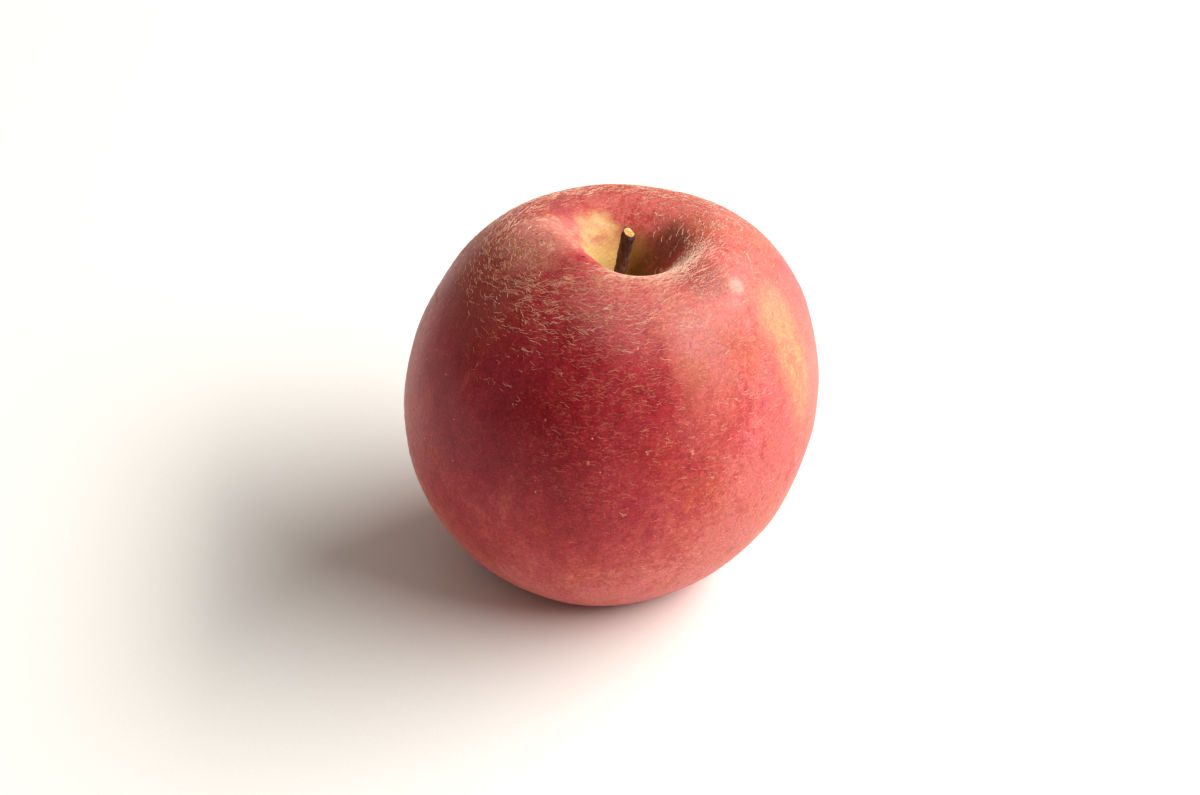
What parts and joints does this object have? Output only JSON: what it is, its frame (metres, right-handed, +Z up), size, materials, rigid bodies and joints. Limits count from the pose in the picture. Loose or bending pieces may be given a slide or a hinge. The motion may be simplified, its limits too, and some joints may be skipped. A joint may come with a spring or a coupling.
{
  "type": "apple",
  "caption": "Round red eating apple with a short woody stem in its top hollow and a dried calyx in the hollow underneath.",
  "frame": {"origin": "on the plane the apple stands on, under the middle of its whole outline", "axes": "+Z up along the apple's axis, stem end up; -Y towards the side that shows its darkest red; +X to the right of that side, the way the stem leans"},
  "size_m": [0.0802, 0.0802, 0.075],
  "materials": {
    "skin": "waxy fruit skin, half matt",
    "stem_bark": "dry bark, matt",
    "dried_calyx": "dried leaf, matt"
  },
  "bodies": {
    "root": {"fruit": "skin", "stem": "stem_bark", "calyx": "dried_calyx"}
  },
  "joints": []
}
